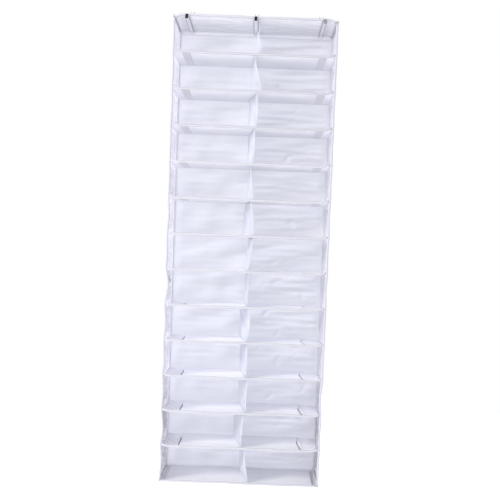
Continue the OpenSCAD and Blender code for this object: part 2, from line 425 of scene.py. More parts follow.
def film_material(name, colour, shade, through, rough=0.45, gloss=0.35, bump=0.25, clear=0.0, band=None,
                  band_shade=0.84, low_shade=None, glints=False, shade_strength=0.0):
    """Thin plastic film: a soft surface that passes some light, with weave, mottling and fine creases.

    through is the share of light passed and clear the share seen straight through. band is a side_mask's ramps
    where painted shade lies, darker towards the front, and band_shade its brightness. low_shade is painted light
    towards the bottom, darker or lighter as its colour is: (z where it begins, z where it is full, its colour).
    shade_strength is how far the painted shade darkens the points of the darkest painted_shading. glints adds
    painted highlights along crease lines.
    """
    material, nodes, links, out = new_material(name)
    coords = nodes.new("ShaderNodeTexCoord").outputs["Object"]
    place = split_node(nodes, links, coords)
    mottle = nodes.new("ShaderNodeValToRGB")
    mottle.color_ramp.elements[0].position = 0.35
    mottle.color_ramp.elements[1].position = 0.68
    links.new(noise_node(nodes, links, coords, 9.0, 4.0, (1, 1, 2.5)), mottle.inputs["Fac"])
    base = mix_colour(nodes, links, mottle.outputs["Color"], shade, colour)
    # Painted light towards the bottom: the colour shifts to the low colour
    if low_shade is not None:
        z_from, z_to, low_colour = low_shade
        lowness = ramp_node(nodes, links, place["Z"], z_to, z_from, 1.0, 0.0, smooth=True)
        base = mix_colour(nodes, links, lowness, base, low_colour)
    # Painted shade: the per-point shading darkens the colour
    if shade_strength:
        painted_shading = nodes.new("ShaderNodeAttribute")
        painted_shading.attribute_name = "painted_shading"
        dark = mix_colour(nodes, links, shade_strength, base, (0, 0, 0))
        base = mix_colour(nodes, links, painted_shading.outputs["Fac"], dark, base)
    # Painted shade in a band at the shelf ends, darker towards the front
    if band is not None:
        depth = ramp_node(nodes, links, place["Y"], FRONT + 0.01, FRONT + 0.15)
        lit = mix_colour(nodes, links, depth, [c * (band_shade - 0.14) for c in shade],
                         [c * (band_shade + 0.06) for c in shade])
        base = mix_colour(nodes, links, side_mask(nodes, links, coords, band), base, lit)
    # Painted highlights along the film's creases
    if glints:
        base = mix_colour(nodes, links, crease_lines(nodes, links, coords), base, (0.98, 0.98, 1.0))
    fine = noise_node(nodes, links, coords, 60.0, 6.0, (1, 1, 2.0), 0.6)
    woven = bump_node(nodes, links, weave_height(nodes, links, coords, FILM_WEAVE), bump * 0.6, 0.0001)
    normal = bump_node(nodes, links, fine, bump, 0.0012, woven)
    roughness = ramp_node(nodes, links, fine, 0.0, 1.0, rough * 0.75, min(1.0, rough * 1.3))
    skin = skin_node(nodes, links, base, roughness, normal, Specular_IOR_Level=gloss, Sheen_Weight=0.1)
    shader = mix_shader(nodes, links, through, skin, glow_node(nodes, links, base, normal))
    if clear:
        see = nodes.new("ShaderNodeBsdfTransparent")
        see.inputs["Color"].default_value = (0.97, 0.97, 1.0, 1)
        shader = mix_shader(nodes, links, clear, shader, see.outputs["BSDF"])
    links.new(shader, out.inputs["Surface"])
    return material


def tape_material(name, colour, shade):
    """Woven tape: crossed threads with a soft sheen."""
    material, nodes, links, out = new_material(name)
    coords = nodes.new("ShaderNodeTexCoord").outputs["Object"]
    base = mix_colour(nodes, links, noise_node(nodes, links, coords, 25.0, 3.0), shade, colour)
    normal = bump_node(nodes, links, weave_height(nodes, links, coords, TAPE_WEAVE), 0.5, 0.0002)
    skin = skin_node(nodes, links, base, 0.7, normal, Specular_IOR_Level=0.25, Sheen_Weight=0.25)
    links.new(mix_shader(nodes, links, 0.12, skin, glow_node(nodes, links, base)), out.inputs["Surface"])
    return material


def steel_material():
    """Brushed steel strap with painted shade along its rims."""
    material, nodes, links, out = new_material("plated_steel")
    coords = nodes.new("ShaderNodeTexCoord").outputs["Object"]
    brush = noise_node(nodes, links, coords, 220.0, 4.0, (1, 0.03, 0.03))
    cloud = noise_node(nodes, links, coords, 30.0, 3.0)
    base = mix_colour(nodes, links, cloud, (0.76, 0.76, 0.79), (0.90, 0.90, 0.92))
    half = (high("hook_middle").x - low("hook_middle").x) / 2
    outer = (low("hook_right").x + high("hook_right").x) / 2
    # Painted shade: a dark line along each rim of the strap
    rim = side_mask(nodes, links, coords, [(half - 0.0016, half - 0.0008)], outer)
    base = mix_colour(nodes, links, rim, base, (0.16, 0.16, 0.18))
    normal = bump_node(nodes, links, brush, 0.12, 0.0002)
    roughness = ramp_node(nodes, links, brush, 0.0, 1.0, 0.16, 0.36)
    links.new(skin_node(nodes, links, base, roughness, normal, Metallic=1.0), out.inputs["Surface"])
    return material


def rubber_material(name, dark, light):
    material, nodes, links, out = new_material(name)
    coords = nodes.new("ShaderNodeTexCoord").outputs["Object"]
    grain = noise_node(nodes, links, coords, 900.0, 4.0)
    dust = noise_node(nodes, links, coords, 120.0, 3.0)
    base = mix_colour(nodes, links, dust, (dark, dark, dark * 1.2), (light, light, light * 1.2))
    normal = bump_node(nodes, links, grain, 0.3, 0.0001)
    links.new(skin_node(nodes, links, base, 0.75, normal, Specular_IOR_Level=0.15), out.inputs["Surface"])
    return material


def board_material():
    """Pale grey paperboard with fibres and a dark band at each end, slanted at the right one: its cut edge and
    painted shade where the upper film ends.
    """
    material, nodes, links, out = new_material("grey_paperboard")
    coords = nodes.new("ShaderNodeTexCoord").outputs["Object"]
    fibre = noise_node(nodes, links, coords, 300.0, 5.0, (0.2, 1, 1), 0.5)
    base = mix_colour(nodes, links, fibre, (0.80, 0.79, 0.82), (0.90, 0.89, 0.92))
    place = split_node(nodes, links, coords)
    shift = ramp_node(nodes, links, place["Y"], FRONT, FRONT + SLANT_D, 0.0, SLANT * SLANT_D)
    right = math_node(nodes, links, "GREATER_THAN", place["X"], 0.0)
    slanted = nodes.new("ShaderNodeCombineXYZ")
    links.new(math_node(nodes, links, "MULTIPLY_ADD", shift, right, place["X"]), slanted.inputs["X"])
    # Painted shade: a dark band from the upper film's end to the board's cut edge
    cut = side_mask(nodes, links, slanted.outputs["Vector"],
                    [(BOARD_X - 0.0052, BOARD_X - 0.0044), (BOARD_X + 0.0004, BOARD_X - 0.0004)])
    base = mix_colour(nodes, links, cut, base, (0.10, 0.10, 0.12))
    normal = bump_node(nodes, links, fibre, 0.4, 0.0002)
    links.new(skin_node(nodes, links, base, 0.9, normal), out.inputs["Surface"])
    return material


# Distance between threads
FILM_WEAVE = 0.0009
TAPE_WEAVE = 0.0011

# The strips beyond the ends of the boards, where a shelf is film only and painted shade lies, and how sharply
# they begin and end
SHADE_STRIP = [(BOARD_X + 0.0005, BOARD_X + 0.0025), (END_X - 0.024, END_X - 0.028)]
SOFT_SHADE_STRIP = [(BOARD_X, BOARD_X + 0.004), (END_X - 0.006, BOARD_X + 0.012)]

# Heights in which a material's painted light changes towards the bottom, in tiers above it
LAST_TIER = (BOTTOM + 1.3 * PITCH, BOTTOM + 0.9 * PITCH)

# The back film: painted shade from its relief, darker towards the bottom
BACK_MAT = film_material("back_film", (0.976, 0.978, 0.998), (0.956, 0.958, 0.99), 0.46, rough=0.5,
                         low_shade=(BOTTOM + 5.5 * PITCH, BOTTOM + 0.9 * PITCH, (0.945, 0.948, 0.985)),
                         shade_strength=0.12)
# Sleeve film with painted shade in the strips beyond the boards
SLEEVE_MAT = film_material("sleeve_film", (0.955, 0.957, 0.985), (0.935, 0.937, 0.97), 0.20, rough=0.42,
                           band=SHADE_STRIP)
# The lower shelves' film: painted shade from its relief, at its front edge, beyond the boards' ends and towards
# the bottom
FLOOR_MAT = film_material("shaded_sleeve_film", (0.955, 0.96, 1.0), (0.93, 0.935, 0.99), 0.05, rough=0.42,
                          band=SOFT_SHADE_STRIP, band_shade=0.93, shade_strength=0.26,
                          low_shade=(BOTTOM + 3.1 * PITCH, BOTTOM + 1.1 * PITCH, (0.89, 0.895, 0.935)))
# The top sleeve's film, with painted shade from its relief
PLAIN_MAT = film_material("plain_sleeve_film", (0.955, 0.957, 0.985), (0.94, 0.942, 0.975), 0.10,
                          rough=0.42, shade_strength=0.12)
# The bottom shelf's film: a darker copy of the sleeve film, painted shade
BASE_MAT = film_material("shaded_base_film", (0.79, 0.79, 0.83), (0.765, 0.765, 0.81), 0.03, rough=0.42,
                         shade_strength=0.18)
# The divider: painted shade from its relief, and lighter in the bottom tier, painted light
DIVIDER_MAT = film_material("divider_film", (0.91, 0.917, 0.95), (0.89, 0.897, 0.935), 0.66, rough=0.5,
                            gloss=0.2, low_shade=(*LAST_TIER, (0.935, 0.942, 0.98)), shade_strength=0.16)
# Clear vinyl: painted highlights along its creases, painted shade from its relief, and painted shade making it
# much darker towards the bottom
VINYL_MAT = film_material("clear_vinyl", (0.90, 0.89, 0.95), (0.83, 0.82, 0.90), 0.40, rough=0.14, gloss=0.6,
                          bump=0.35, clear=0.38, glints=True, shade_strength=0.26,
                          low_shade=(BOTTOM + 3.4 * PITCH, BOTTOM + 1.2 * PITCH, (0.46, 0.455, 0.505)))
# Dark film for the deep pleat: painted shadow
PLEAT_SHADOW_MAT = film_material("pleat_shadow_vinyl", (0.44, 0.44, 0.48), (0.34, 0.34, 0.38), 0.15, rough=0.2,
                               gloss=0.6)
# The front tapes are a grey copy of the white back tape, painted shade against the strong light on the front; the
# upper shelves' copy is darker still
TAPE_MAT = tape_material("woven_tape", (0.54, 0.535, 0.585), (0.505, 0.50, 0.55))
BACK_TAPE_MAT = tape_material("woven_back_tape", (0.96, 0.96, 0.985), (0.92, 0.92, 0.955))
UNDERSIDE_SHADE_TAPE_MAT = tape_material("underside_shaded_woven_tape", (0.51, 0.505, 0.555), (0.475, 0.47, 0.52))
THREAD_MAT = tape_material("stitch_thread", (0.72, 0.72, 0.75), (0.67, 0.67, 0.71))
STEEL_MAT = steel_material()
RUBBER_MAT = rubber_material("black_rubber", 0.006, 0.018)
# The right tip is a lighter grey rubber: painted reflection
SHEEN_RUBBER_MAT = rubber_material("painted_sheen_rubber", 0.14, 0.26)
BOARD_MAT = board_material()


def paint_cad(node, material):
    obj = frame["nodes"][node]
    obj.data.materials.clear()
    obj.data.materials.append(material)


for where in ("left", "middle", "right"):
    paint_cad("hook_" + where, STEEL_MAT)
    paint_cad("hook_tip_" + where, SHEEN_RUBBER_MAT if where == "right" else RUBBER_MAT)
paint_cad("top_board", BOARD_MAT)
for i in range(1, TIERS + 1):
    paint_cad("shelf_board_%02d" % i, BOARD_MAT)


# ---- Shapes that neighbouring pieces share ----

pull_rng = np.random.default_rng(11)
# How far each tier's side edge is drawn in and at what height; the left side's pulls grow downwards
PULL = {side: pull_rng.uniform(0.0006, 0.0030, TIERS) * (0.7 if side > 0 else 1.0) for side in (-1, 1)}
PULL_PEAK = {side: pull_rng.uniform(0.42, 0.62, TIERS) for side in (-1, 1)}
PLEAT_TIER = 7  # the tier with a deep pleat, counted from 0 at the top
PULL[-1][4:] *= np.linspace(1.0, 1.6, TIERS - 4)
PULL[-1][PLEAT_TIER], PULL_PEAK[-1][PLEAT_TIER] = 0.0085, 0.60
PULL[-1][11] = 0.0055
PULL[1][10] = 0.0040


def side_pull(side, z):
    """How far a side's front edge is drawn in between two shelves."""
    phase, index = tier_phase(z)
    peak = PULL_PEAK[side][index]
    bent = np.where(phase < peak, 0.5 * phase / peak, 1 - 0.5 * (1 - phase) / (1 - peak))
    return PULL[side][index] * np.sin(math.pi * np.clip(bent, 0, 1)) ** 1.6


def edge_rise(x, span, height, end):
    """Height gained by a soft shelf edge towards its end."""
    t = smoothstep((np.abs(x) - (end - span)) / span * 0.5) * 2
    return height * t


sway_rng = np.random.default_rng(23)
SAG_PHASE = sway_rng.uniform(0, 2 * math.pi, (TIERS + 1, 3))


def line_wave(i, x):
    """Small unevenness of the front edge of shelf i; 0 is the top."""
    a, b, c = SAG_PHASE[i]
    fade = smoothstep((END_X - np.abs(x)) / 0.05)
    return fade * (0.0006 * np.sin(x * 17 + a) + 0.0004 * np.sin(x * 41 + b) + 0.0002 * np.sin(x * 93 + c))


# ---- Bindings ----


def tape_ring(height, depth, radius=0.0025):
    """A tape's section: points (across, inwards), with a rounded face and a slightly narrower back edge."""
    points = []
    h = height / 2
    for start, middle in ((90, h - radius), (180, -h + radius)):
        for a in np.radians(np.linspace(start, start + 90, 5)):
            points.append((middle + radius * math.sin(a), radius + radius * math.cos(a)))
    points.append((-h + 0.0002, depth * 0.5))
    points.append((-h + 0.0004, depth))
    points.append((h - 0.0004, depth))
    points.append((h - 0.0002, depth * 0.5))
    return np.array(points)


def stitch_blocks(centres, along, out, length=0.0030, width=0.0006):
    """Small raised stitches at points on a tape, each a stretched eight-sided bead."""
    verts, faces = [], []
    for p, a, n in zip(centres, along, out):
        a = a / np.linalg.norm(a)
        n = n - a * np.dot(a, n)
        n = n / np.linalg.norm(n)
        s = np.cross(a, n)
        base = len(verts)
        for end, size in ((-0.5, 0.35), (-0.28, 1.0), (0.28, 1.0), (0.5, 0.35)):
            for ds, dn in ((-1, -0.5), (-0.6, 0.7), (0.6, 0.7), (1, -0.5)):
                verts.append(p + a * end * length + s * ds * width / 2 * size + n * dn * width / 2 * size)
        for k in range(3):
            for j in range(4):
                q = (j + 1) % 4
                r = base + 4 * k
                faces.append((r + j, r + q, r + 4 + q, r + 4 + j))
        faces.append((base + 3, base + 2, base + 1, base))
        faces.append((base + 12, base + 13, base + 14, base + 15))
    return np.array(verts), faces


TAPE_RING = tape_ring(TAPE_H, TAPE_D)
STITCH_OFFSET = -0.0012
STITCH_SPACING = 0.0042


def tape_solid(path, across, inward):
    """A tape along a path of points; across and inward are the section's two directions at each point."""
    return tube(path[:, None, :] + across[:, None, :] * TAPE_RING[None, :, :1]
                + inward[:, None, :] * TAPE_RING[None, :, 1:])


def tape(name, path, across, inward, body, node, material):
    """A stitched tape that stands for a binding of the frame."""
    verts, faces = tape_solid(path, across, inward)
    obj = make_object(name, verts, faces, material, body)
    seg = np.linalg.norm(np.diff(path, axis=0), axis=1)
    dist = np.concatenate([[0], np.cumsum(seg)])
    spots = np.arange(STITCH_SPACING, dist[-1] - STITCH_SPACING, STITCH_SPACING)

    def at(values, places):
        return np.stack([np.interp(places, dist, values[:, k]) for k in range(3)], axis=1)

    centre, side, inw = at(path, spots), at(across, spots), at(inward, spots)
    along = at(path, spots + 0.001) - centre
    sv, sf = stitch_blocks(centre + side * STITCH_OFFSET - inw * 0.00005, along, -inw)
    add_part(obj, sv, sf, THREAD_MAT)
    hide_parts(node)
    return obj


def add_part(obj, verts, faces, material, painted_shading=None, smooth_count=None):
    """Adds more closed solids to a piece, with their own material."""
    mesh = obj.data
    old_s = [p.use_smooth for p in mesh.polygons]
    old_t = np.full(len(mesh.vertices), 0.5)
    if "painted_shading" in mesh.attributes:
        mesh.attributes["painted_shading"].data.foreach_get("value", old_t)
    old_v = np.array([v.co for v in mesh.vertices], float).reshape(-1, 3)
    old_f = [tuple(p.vertices) for p in mesh.polygons]
    old_m = [p.material_index for p in mesh.polygons]
    n = len(old_v)
    new = bpy.data.meshes.new(mesh.name)
    all_f = old_f + [tuple(int(k) + n for k in f) for f in faces]
    new.from_pydata([tuple(v) for v in np.concatenate([old_v, verts])], [], all_f)
    for m in mesh.materials:
        new.materials.append(m)
    new.materials.append(material)
    slot = len(new.materials) - 1
    new.polygons.foreach_set("material_index", old_m + [slot] * len(faces))
    new.polygons.foreach_set("use_smooth", old_s + smooth_flags(len(faces), smooth_count))
    new.update()
    obj.data = new
    set_painted_shading(obj, np.concatenate([old_t, np.broadcast_to(0.5 if painted_shading is None else painted_shading, len(verts))]))


def repeated(v, n):
    return np.tile(np.array(v, float), (n, 1))


# Shelves above this number have a darker copy of the front tape, painted shade for tapes seen from below
SHADED_TAPE_SHELVES = 4


def cross_binding(name, node, i, y_face, y_dir, z_mid, span, height, body):
    """A tape along X on the front (y_dir 1) or the back (y_dir -1) edge of a shelf or the top.

    Its ends curve up by height over the last span, or down when height is negative.
    """
    x = spaced([-END_X, -END_X + 0.04, 0, END_X - 0.04, END_X], 0.006)
    rise = edge_rise(x, span, height, END_X)
    path = np.stack([x, np.full_like(x, y_face), z_mid + rise + line_wave(i, x)], axis=1)
    slope = np.gradient(path[:, 2], path[:, 0])
    across = np.stack([-slope, np.zeros_like(x), np.ones_like(x)], axis=1)
    across /= np.linalg.norm(across, axis=1, keepdims=True)
    tape(name, path, across, repeated((0, y_dir, 0), len(x)), body, node,
         BACK_TAPE_MAT if y_dir < 0 else UNDERSIDE_SHADE_TAPE_MAT if 0 < i < SHADED_TAPE_SHELVES else TAPE_MAT)


HALF_SLEEVE = SLEEVE_H / 2
for where, y_face, y_dir in (("front", FRONT, 1), ("back", BACK, -1)):
    cross_binding("top_%s_tape" % where, "top_%s_binding" % where, 0, y_face, y_dir, TOP - HALF_SLEEVE,
                  DROOP_SPAN, -DROOP, "organizer")
for i in range(1, TIERS + 1):
    cross_binding("shelf_tape_%02d" % i, "shelf_binding_%02d" % i, i, FRONT, 1, SHELF_Z[i - 1] + HALF_SLEEVE,
                  RISE_SPAN, 0.0 if i == TIERS else RISE, "shelf_%02d" % i)
cross_binding("bottom_back_tape", "bottom_back_binding", TIERS, BACK, -1, BOTTOM + HALF_SLEEVE,
              RISE_SPAN, 0.0, "shelf_%02d" % TIERS)


def squash_tiers(obj):
    """Gives a piece as high as the organizer its own mesh."""
    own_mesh(obj)


def upright_binding(name, node, side, y_face, y_dir, share):
    """A tape up a side film's front or back edge; share is how much of the side's pull it follows."""
    z = spaced([low(node).z, high(node).z], 0.006)
    pull = side_pull(side, z) * share
    path = np.stack([side * (SIDE_FILM - pull), np.full_like(z, y_face), z], axis=1)
    slope = np.gradient(path[:, 0], z)
    across = np.stack([np.ones_like(z), np.zeros_like(z), -slope], axis=1)
    across /= np.linalg.norm(across, axis=1, keepdims=True)
    squash_tiers(tape(name, path, across * side, repeated((0, y_dir, 0), len(z)), "organizer", node,
                      TAPE_MAT if y_dir > 0 else BACK_TAPE_MAT))


for side, word in ((-1, "left"), (1, "right")):
    upright_binding(word + "_front_tape", word + "_front_binding", side, FRONT, 1, 1.0)
    upright_binding(word + "_back_tape", word + "_back_binding", side, BACK, -1, 0.0)


def depth_binding(name, node, body, face):
    """The two short tapes along the depth at the side films' top (face 1) or bottom (-1), as one piece."""
    y = spaced([FRONT, BACK], 0.006)
    z_mid = (low(node).z + high(node).z) / 2
    parts = []
    for side in (-1, 1):
        wave = 0.0004 * np.sin(y * 55 + side)
        path = np.stack([np.full_like(y, side * SIDE_FILM), y, z_mid + face * TAPE_H / 2 + wave], axis=1)
        parts.append(tape_solid(path, repeated((1, 0, 0), len(y)), repeated((0, 0, -face), len(y))))
    obj = make_object(name, parts[0][0], parts[0][1], TAPE_MAT, body)
    add_part(obj, parts[1][0], parts[1][1], TAPE_MAT)
    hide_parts(node)


depth_binding("top_side_tapes", "top_side_bindings", "organizer", 1)
depth_binding("bottom_side_tapes", "bottom_side_bindings", "shelf_%02d" % TIERS, -1)

# ---- Back film ----

# Small curved wrinkles, all right of the middle: tier counted from 0 at the top, height in the tier from 0
# to 1, distance from the middle and radius in mm
SWOOSH = ((7, 0.22, 204, 11), (8, 0.70, 83, 12), (8, 0.32, 173, 16), (8, 0.14, 111, 13), (9, 0.62, 190, 15),
          (9, 0.30, 140, 18), (6, 0.35, 96, 14), (10, 0.55, 214, 17), (7, 0.60, 120, 20), (5, 0.45, 170, 18),
          (10, 0.25, 90, 15), (11, 0.50, 205, 14), (3, 0.30, 150, 22), (1, 0.45, 110, 24))


SWOOSH_HEIGHT = 0.0060
SWOOSH_WIDTH = 0.0080


def swooshes(x, z):
    """Relief of the curved wrinkles, each an arc that fades out at its ends."""
    total = np.zeros_like(x)
    for k, (tier, height, offset, radius) in enumerate(SWOOSH):
        cx, cz, r0 = offset / 1000, TOP - PITCH * (tier + 1 - height), radius / 1000
        r = np.hypot(x - cx, (z - cz) * 1.4)
        turn = np.cos(np.arctan2(z - cz, x - cx) - 0.9 - 1.7 * k)
        total += SWOOSH_HEIGHT * np.exp(-((r - r0) / SWOOSH_WIDTH) ** 2) * smoothstep(turn * 1.2)
    return total


def back_panel():
    """The back film, in two pieces that meet at SEAM_Z, with a slot and a flap at each strap's arm."""
    rng = np.random.default_rng(5)
    slots = []
    for name in ("hook_left", "hook_middle", "hook_right"):
        mid = (low(name).x + high(name).x) / 2
        half = (high(name).x - low(name).x) / 2 + 0.0010
        slots.append((mid - half, mid + half))
    slot_z = ARM_LOW - LIFT - 0.0007
    edge = high("back_panel").x - 0.001
    breaks = sorted([-edge, edge] + [v for s in slots for v in s])
    x = spaced(breaks, 0.005)
    z_top = TOP - 0.003
    z = spaced([BOTTOM + 0.001] + SHELF_Z[::-1][1:] + [SEAM_Z, slot_z, z_top], 0.0052)
    X, Z = np.meshgrid(x, z, indexing="ij")
    window = np.sin(math.pi * np.clip(tier_phase(Z)[0], 0, 1)) ** 0.8
    edges = smoothstep((edge - np.abs(X)) / 0.03)
    side_amount = 0.35 + 0.45 * smoothstep((X + 0.02) / 0.12)
    ripple = waves(rng, X, Z, 9, (0.22, 0.7), (0.018, 0.045))
    broad = waves(rng, X, Z, 6, (0.15, 0.5), (0.07, 0.16))
    fold = creases(rng, X, Z, 5, (0.10, 0.4), (0.03, 0.09), 3.5)
    tall = waves(rng, X, Z, 4, (0.05, 0.16), (0.25, 0.8)) * (1 - smoothstep((X + 0.06) / 0.08))
    bump = 0.0012 * ripple * side_amount + 0.0018 * broad + 0.0024 * fold * side_amount + 0.0014 * tall
    bump = (bump + swooshes(X, Z) - BILLOW) * window * edges - 0.0012 * np.exp(-(X / 0.006) ** 2)
    # Painted shade from the slope of the film's relief
    painted_shading = painted_fold_shading(bump, x, z, 0.30)
    Y = BACK_FILM - np.clip(bump, *BACK_CLIP)
    near_top = np.clip((Z - SEAM_Z) / (z_top - SEAM_Z), 0, 1)
    Z = Z - near_top * edge_rise(X, DROOP_SPAN, DROOP, END_X)
    P = np.stack([X, Y, Z], axis=2)
    xc, zc = (x[:-1] + x[1:]) / 2, (z[:-1] + z[1:]) / 2
    keep = np.ones((len(x) - 1, len(z) - 1), bool)
    for a, b in slots:
        keep &= ~(((xc > a) & (xc < b))[:, None] & (zc > slot_z)[None, :])
    k = int(np.argmin(np.abs(z - SEAM_Z)))
    main = sheet("back_film", P[:, :k + 1], BACK_MAT, "organizer", keep=keep[:, :k], painted_shading=painted_shading[:, :k + 1])
    edge_strip = sheet("back_film_top", P[:, k:], BACK_MAT, "organizer", keep=keep[:, k:], painted_shading=painted_shading[:, k:])
    for obj in (main, edge_strip):
        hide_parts("back_panel")
    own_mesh(main)
    for (a, b), word in zip(slots, ("left", "middle", "right")):
        slot_flap("slot_flap_" + word, a, b, slot_z)


# Limits of the films' relief: backwards or outwards, where it is free, and towards the shelves, which it has
# to clear
BACK_CLIP = (-0.0085, 0.0004)
SIDE_CLIP = (-0.0080, 0.0006)


def slot_flap(name, x0, x1, z0):
    """The soft tongue of film below a strap's arm."""
    height = ARM_LOW - 0.0004 - z0
    U, V = np.meshgrid(np.linspace(0, 1, 9), np.linspace(0, 1, 5), indexing="ij")
    X = x0 + 0.0002 + (x1 - x0 - 0.0004) * U
    Y = BACK_FILM + 0.0004 - 0.0009 * V * np.sin(math.pi * U)
    obj = sheet(name, np.stack([X, Y, z0 + height * V], axis=2), BACK_MAT, "organizer")
    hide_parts("back_panel")
    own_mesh(obj)


back_panel()

# ---- Side films ----


# How crumpled each tier of a side film is, from the top
CRINKLE = {
    -1: np.array([0.7, 0.5, 0.5, 0.6, 1.2, 0.7, 0.8, 1.6, 1.5, 1.6, 1.5, 1.4, 0.8]),
    1: np.array([0.6, 0.5, 0.5, 0.5, 0.5, 0.5, 0.5, 0.6, 0.7, 0.7, 0.9, 0.8, 0.6]),
}


def shade_pleat(obj):
    """Painted shadow in the deep pleat, where the film also lies double: its faces there take a dark film."""
    obj.data.materials.append(PLEAT_SHADOW_MAT)
    for face in obj.data.polygons:
        _, y, z = face.center
        height = (TOP - PLEAT_TIER * PITCH - z) / PITCH
        if 0.21 < height < 0.45 and FRONT + 0.008 < y < FRONT + 0.085 - 0.20 * abs(height - 0.33):
            face.material_index = 1


def side_film(side, word):
    """A crumpled clear side film, drawn in at its front edge with the upright tape; the left has a pleat."""
    rng = np.random.default_rng(31 + side)
    node = word + "_side_panel"
    y = spaced([FRONT + 0.0024, BACK - 0.0026], 0.0046)
    z = spaced([low(node).z] + SHELF_Z[::-1][1:] + [high(node).z], 0.0048)
    Yg, Z = np.meshgrid(y, z, indexing="ij")
    s = (Yg - y[0]) / (y[-1] - y[0])
    phase, index = tier_phase(Z)
    window = smoothstep((phase - 0.045) / 0.16) * smoothstep((1 - phase) / 0.14)
    edge = smoothstep(s / 0.10) * smoothstep((1 - s) / 0.10)
    pleated = (side < 0) & (index == PLEAT_TIER)
    reach = np.where(pleated, 0.50, 0.22)
    pull = side_pull(side, Z) * np.exp(-(s / reach) ** 2)
    busy = CRINKLE[side][index]
    crumple = creases(rng, Yg, Z, 6, (0.03, 0.14), (0.03, 0.12), 2.4) * 0.0035
    facets = creases(rng, Yg * 1.3 + Z * 0.6, Z - Yg * 0.5, 5, (0.03, 0.09), (0.02, 0.07), 3.2) * 0.0034
    small = creases(rng, Yg - Z * 0.8, Z + Yg * 0.7, 6, (0.014, 0.04), (0.014, 0.04), 2.6) * 0.0020
    broad = (waves(rng, Yg, Z, 5, (0.10, 0.25), (0.06, 0.15)) + 1) * 0.0012
    relief = (crumple + facets + small) * busy + broad
    inward = pull + np.clip(0.8 * relief - 0.0026 - 0.0034 * busy, *SIDE_CLIP) * window * edge
    if side < 0:
        pleat = np.exp(-((phase - 0.66) / 0.07) ** 2) * np.exp(-((s - 0.06) / 0.30) ** 2) * pleated
        inward += 0.011 * pleat * smoothstep(s / 0.04)
    X = side * (SIDE_FILM - inward)
    P = np.stack([X, Yg, Z], axis=2)
    # Painted shade from the slope of the film's crumples
    obj = sheet(word + "_side_film", P, VINYL_MAT, "organizer", 0.00035, painted_shading=painted_fold_shading(inward, y, z, 0.6))
    if side < 0:
        shade_pleat(obj)
    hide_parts(node)
    squash_tiers(obj)


for side, word in ((-1, "left"), (1, "right")):
    side_film(side, word)

# ---- Sleeves ----

# Painted shade on a floor's front edge, which gets more light than its back
FLOOR_FRONT = 0.12
SHEET_STEP = 0.0065


def flat_sheet(x_end, y0, y1, z_of, seed, lift, corner=0.0, flare=0.0):
    """Grid of points of a soft level sheet at height z_of(x, y), raised by up to about lift.

    corner is how far its corners are cut back for the upright bindings, flare how much its back half widens.
    """
    rng = np.random.default_rng(seed)
    y = spaced([y0, y0 + 0.0075, y1 - 0.0060, y1], SHEET_STEP)
    u = spaced([-1.0, -0.88, 0, 0.88, 1.0], SHEET_STEP / x_end)
    U, Yg = np.meshgrid(u, y, indexing="ij")
    near = np.minimum(Yg - y0, y1 - Yg)
    reach = x_end - corner * (1 - smoothstep((near - 0.0052) / 0.002))
    reach = reach + flare * smoothstep(((Yg - y0) / (y1 - y0) - 0.50) / 0.3)
    X = U * reach
    soft = np.abs(waves(rng, X, Yg, 7, (0.05, 0.25), (0.04, 0.15)) + 0.4) * lift
    fade = smoothstep(near / 0.012)
    Z = z_of(X, Yg) + soft * fade
    return np.stack([X, Yg, Z], axis=2)


def add_sheet(obj, points, material, painted_shading):
    """Adds a second film to a piece."""
    quads = grid_faces(*points.shape[:2])
    verts, faces = thicken(points.reshape(-1, 3), quads, FILM_T)
    add_part(obj, verts, faces, material, np.tile(painted_shading.ravel(), 2), 2 * len(quads))


def shelf_sleeve(i):
    """The sleeve round a shelf's board: a lower film over the whole shelf and an upper one over the board."""
    base = SHELF_Z[i - 1]
    last = i == TIERS
    y0 = FRONT + 0.0023
    y1 = (BACK - TAPE_D - 0.0005) if last else BACK_FILM - 0.0011
    x_end = END_X - 0.0004 if last else SIDE_FILM - 0.0012
    corner = 0.0 if last else x_end - END_X + 0.0002
    height = 0.0 if last else RISE

    def under(X, Yg):
        front = 1 - smoothstep((Yg - y0) / SOFTEN)
        return base + 0.0003 + (edge_rise(X, RISE_SPAN, height, END_X) + line_wave(i, X)) * front

    def over(X, Yg):
        near = np.minimum(Yg - y0, y1 - Yg)
        front = 1 - smoothstep((Yg - y0) / SOFTEN)
        closed = 1 - smoothstep(near / MOUTH)
        return base + 0.0037 - 0.0029 * closed + line_wave(i, X) * front

    lower = flat_sheet(x_end, y0, y1, under, 100 + i, 0.0, corner=corner)
    film = BASE_MAT if last else FLOOR_MAT if i > TIERS / 2 else SLEEVE_MAT
    upper = flat_sheet(x_end - 0.012 if last else BOARD_X - 0.004, y0, y1, over, 200 + i, 0.00035,
                       flare=0.0 if last else 0.0052)
    if not last:
        depth = np.clip(upper[:, :, 1] - FRONT, 0, SLANT_D)
        upper[:, :, 0] -= SLANT * depth * np.clip(upper[:, :, 0] / BOARD_X, 0, 1) ** 4
    # Painted shade: mottled light and dark on the crumpled film beyond the boards' ends, and a floor darker at
    # its front
    rng = np.random.default_rng(500 + i)
    wing = smoothstep((np.abs(lower[:, :, 0]) - BOARD_X - 0.002) / 0.004)
    crumple_shade = waves(rng, lower[:, :, 0], lower[:, :, 1], 8, (0.012, 0.03), (0.02, 0.06))
    lower_shading = np.clip(0.55 + wing * 0.45 * crumple_shade, 0, 1)
    upper_shading = FLOOR_FRONT + (1 - FLOOR_FRONT) * smoothstep((upper[:, :, 1] - y0) / 0.11)
    obj = sheet("shelf_film_%02d" % i, lower, film, "shelf_%02d" % i, painted_shading=lower_shading)
    add_sheet(obj, upper, film, upper_shading)
    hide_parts("shelf_sleeve_%02d" % i)


for i in range(1, TIERS + 1):
    shelf_sleeve(i)


